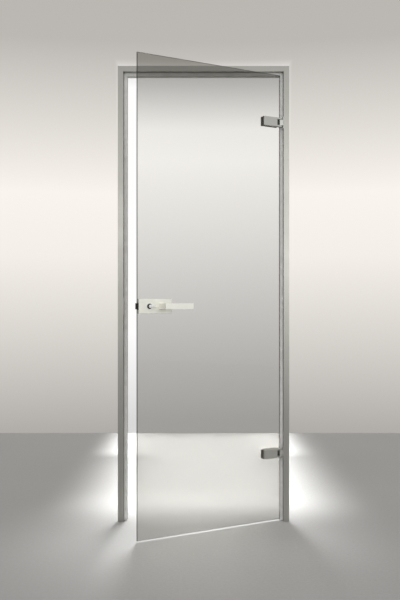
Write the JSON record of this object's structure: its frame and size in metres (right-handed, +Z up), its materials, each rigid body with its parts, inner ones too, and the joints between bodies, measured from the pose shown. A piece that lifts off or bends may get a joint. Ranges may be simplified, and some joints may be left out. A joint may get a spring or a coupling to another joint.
{
  "type": "glass door with frame",
  "caption": "Frameless tinted glass leaf on clamp hinges in a rebated satin aluminium frame, with a latch lock, a thumb turn and lever handles on both faces.",
  "frame": {"origin": "on the floor, in the middle of the doorway's width, in the plane of the wall's surface that the frame's flange lies on", "axes": "+Z up along the jambs, +Y into the wall away from the side that the leaf opens to, +X along the wall towards the hinges"},
  "size_m": [0.77, 0.3933, 2.047],
  "materials": {
    "frame_aluminium": "satin",
    "cleat_aluminium": "matte",
    "seal_rubber": "matte",
    "pad_rubber": "matte",
    "hinge_satin": "satin",
    "black_plastic": "matte",
    "black_metal": "satin",
    "nylon": "satin",
    "tinted_glass": "polished",
    "handle_cream": "satin",
    "polished_chrome": "polished",
    "steel": "satin"
  },
  "bodies": {
    "frame": {"jamb_lock_side": "frame_aluminium", "jamb_hinge_side": "frame_aluminium", "head_profile": "frame_aluminium", "corner_cleat_lock_side": "cleat_aluminium", "corner_cleat_hinge_side": "cleat_aluminium", "corner_screws": "steel", "seal_lock_side": "seal_rubber", "seal_hinge_side": "seal_rubber", "seal_head": "seal_rubber", "strike_plate": "hinge_satin", "strike_box": "black_plastic", "strike_screws": "steel", "jamb_knuckle_top": "hinge_satin", "jamb_knuckle_bottom": "hinge_satin", "jamb_backing_top": "steel", "jamb_backing_bottom": "steel", "jamb_knuckle_screws": "steel", "pin_bushes": "nylon"},
    "leaf": {"glass_leaf": "tinted_glass", "clamp_front_top": "hinge_satin", "clamp_front_bottom": "hinge_satin", "clamp_back_top": "hinge_satin", "clamp_back_bottom": "hinge_satin", "clamp_pad_front_top": "pad_rubber", "clamp_pad_front_bottom": "pad_rubber", "clamp_pad_back_top": "pad_rubber", "clamp_pad_back_bottom": "pad_rubber", "hinge_pin_top": "polished_chrome", "hinge_pin_bottom": "polished_chrome", "clamp_screws": "steel", "clamp_sleeves": "nylon", "lock_case": "handle_cream", "lock_plate": "steel", "lock_cover": "handle_cream", "lock_pad_front": "pad_rubber", "lock_pad_back": "pad_rubber", "lock_sleeves": "nylon", "lock_screws": "steel", "latch_guide": "black_plastic", "lever_bush_front": "nylon", "lever_bush_back": "nylon", "turn_rose_front": "black_plastic", "turn_rose_back": "black_plastic", "latch_spring": "steel"},
    "lever": {"lever_front": "handle_cream", "lever_back": "handle_cream", "spindle": "steel", "follower": "steel", "lever_grub_screws": "steel", "lever_spring": "steel"},
    "latch": {"latch_bolt": "black_metal"},
    "turn": {"turn_knob": "polished_chrome", "turn_spindle": "steel", "turn_snib": "steel", "turn_release": "polished_chrome"}
  },
  "joints": [
    {"name": "leaf_swing", "type": "hinge", "parent": "frame", "child": "leaf", "pos_m": [0.3475, 0.0055, 1.008], "axis": [0, 0, 1], "range_deg": [-28.3, 76.7]},
    {"name": "lever_turn", "type": "hinge", "parent": "leaf", "child": "lever", "pos_m": [-0.18441, -0.27011, 0.968], "axis": [-0.4741, 0.8805, 0], "range_deg": [0, 40], "stiffness_Nm_per_rad": 1, "springref_deg": -34.38, "deforming": ["lever_spring"]},
    {"name": "latch_slide", "type": "slide", "parent": "leaf", "child": "latch", "axis": [0.8805, 0.4741, 0], "range_m": [0, 0.013], "deforming": ["latch_spring"]},
    {"name": "thumb_turn", "type": "hinge", "parent": "leaf", "child": "turn", "pos_m": [-0.23019, -0.29477, 0.968], "axis": [0.4741, -0.8805, 0], "range_deg": [0, 90]}
  ],
  "couplings": [
    {"joint": "latch_slide", "follows": "lever_turn", "m_per_rad": 0.018621}
  ]
}
